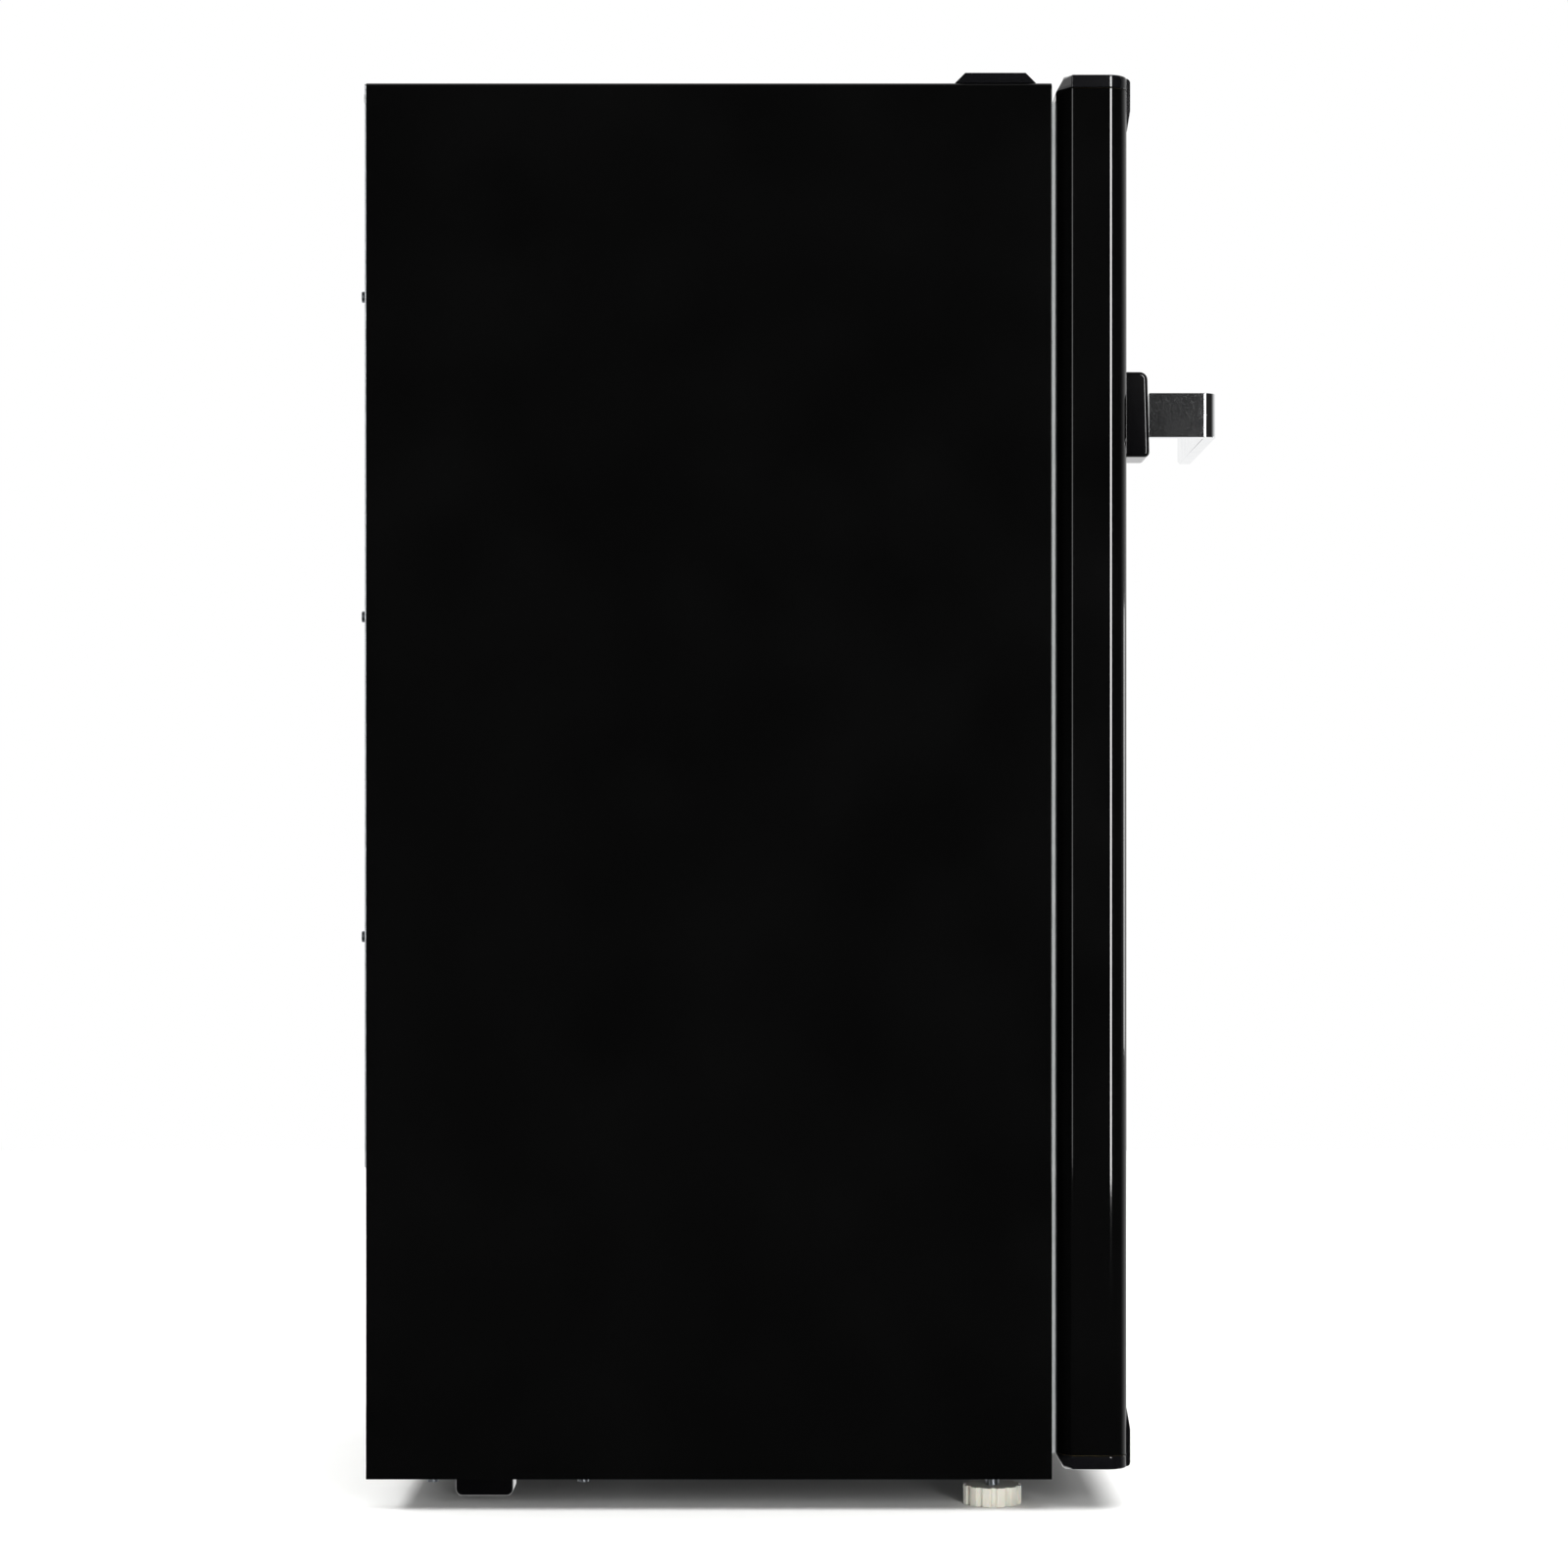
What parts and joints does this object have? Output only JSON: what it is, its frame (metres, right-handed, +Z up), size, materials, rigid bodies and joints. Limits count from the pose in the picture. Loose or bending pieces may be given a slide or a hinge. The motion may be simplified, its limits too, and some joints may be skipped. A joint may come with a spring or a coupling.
{
  "type": "mini fridge",
  "caption": "Compact free-standing refrigerator with a right-hinged insulated door, fixed lever handle, ice box, glass shelf, drawer and levelling feet.",
  "frame": {"origin": "centre of the overall bounding box in plan, on the floor under the feet", "axes": "+Z up, -Y out of the front (the door), +X to the right seen from the front (the hinge side)"},
  "size_m": [0.445, 0.498, 0.831],
  "materials": {
    "black_enamel": "satin",
    "black_plastic": "satin",
    "grey_sheet": "satin",
    "black_steel": "satin",
    "foam": "matte",
    "white_liner": "gloss",
    "copper": "satin",
    "zinc": "satin",
    "black_rubber": "matte",
    "seal_vinyl": "matte",
    "magnet": "matte",
    "clear_plastic": "gloss",
    "white_plastic": "satin",
    "aluminium_sheet": "satin",
    "glass": "gloss",
    "chrome": "polished",
    "nylon": "satin"
  },
  "bodies": {
    "cabinet": {"cabinet_shell": "black_enamel", "base_pan": "black_steel", "back_panel": "black_steel", "compartment_deck": "grey_sheet", "foam_insulation": "foam", "inner_liner": "white_liner", "condenser_pipe": "copper", "compressor_plate": "black_steel", "rear_feet": "black_plastic", "cabinet_screws": "zinc", "compressor": "black_steel", "compressor_grommets": "black_rubber", "compressor_bolts": "zinc", "relay_cover": "black_plastic", "suction_tube": "copper", "discharge_tube": "copper", "filter_drier": "copper", "capillary_tube": "copper", "evaporation_tray": "white_plastic", "drain_tube": "white_plastic", "cord_gland": "black_rubber", "freezer_box": "aluminium_sheet", "freezer_hangers": "white_plastic", "freezer_frame": "white_plastic", "tray_rails": "white_plastic", "thermostat_housing": "white_plastic", "crisper_cover": "glass", "crisper_trim": "white_plastic", "upper_hinge_plate": "black_steel", "lower_hinge_bracket": "black_steel", "hinge_screws": "zinc", "hinge_washer": "nylon", "hinge_cover": "black_plastic", "spare_hinge_cover": "black_plastic", "foot_nuts": "zinc"},
    "dial": {"thermostat_dial": "white_plastic"},
    "freezer_door": {"freezer_flap": "clear_plastic"},
    "defrost_tray": {"drip_tray": "clear_plastic"},
    "shelf": {"shelf_glass": "glass", "shelf_trim": "white_plastic"},
    "drawer": {"crisper_drawer": "clear_plastic"},
    "left_foot_stud": {"foot_stud_left": "zinc"},
    "right_foot_stud": {"foot_stud_right": "zinc"},
    "left_foot_disc": {"foot_disc_left": "nylon"},
    "right_foot_disc": {"foot_disc_right": "nylon"},
    "door": {"door_skin": "black_enamel", "door_top_cap": "black_plastic", "door_bottom_cap": "black_plastic", "cap_plugs": "black_plastic", "door_foam": "foam", "door_liner": "white_liner", "gasket": "seal_vinyl", "gasket_magnets": "magnet", "upper_rack": "clear_plastic", "can_rack": "clear_plastic", "bottle_rack": "clear_plastic", "hinge_bushes": "nylon", "handle_base": "chrome", "handle_lever": "chrome", "handle_screws": "zinc"}
  },
  "joints": [
    {"name": "door_swing", "type": "hinge", "parent": "cabinet", "child": "door", "pos_m": [0.2105, -0.175, 0.4215], "axis": [0, 0, 1], "range_deg": [0, 110]},
    {"name": "thermostat_turn", "type": "hinge", "parent": "cabinet", "child": "dial", "pos_m": [0.1615, -0.038, 0.76], "axis": [0, -1, 0], "range_deg": [0, 270]},
    {"name": "freezer_flap_swing", "type": "hinge", "parent": "cabinet", "child": "freezer_door", "pos_m": [-0.028, -0.0335, 0.778], "axis": [-1, 0, 0], "range_deg": [0, 85]},
    {"name": "drip_tray_slide", "type": "slide", "parent": "cabinet", "child": "defrost_tray", "axis": [0, -1, 0], "range_m": [0, 0.1]},
    {"name": "shelf_slide", "type": "slide", "parent": "cabinet", "child": "shelf", "axis": [0, -1, 0], "range_m": [0, 0.05]},
    {"name": "drawer_slide", "type": "slide", "parent": "cabinet", "child": "drawer", "axis": [0, -1, 0], "range_m": [0, 0.055]},
    {"name": "left_foot_screw", "type": "slide", "parent": "cabinet", "child": "left_foot_stud", "axis": [0, 0, -1], "range_m": [0, 0.008]},
    {"name": "left_foot_turn", "type": "hinge", "parent": "left_foot_stud", "child": "left_foot_disc", "pos_m": [-0.1955, -0.117, 0.005], "axis": [0, 0, 1], "range_deg": [0, 2304]},
    {"name": "right_foot_screw", "type": "slide", "parent": "cabinet", "child": "right_foot_stud", "axis": [0, 0, -1], "range_m": [0, 0.008]},
    {"name": "right_foot_turn", "type": "hinge", "parent": "right_foot_stud", "child": "right_foot_disc", "pos_m": [0.1955, -0.117, 0.005], "axis": [0, 0, 1], "range_deg": [0, 2304]}
  ],
  "couplings": [
    {"joint": "left_foot_turn", "follows": "left_foot_screw", "rad_per_m": 5026.5},
    {"joint": "right_foot_turn", "follows": "right_foot_screw", "rad_per_m": 5026.5}
  ]
}
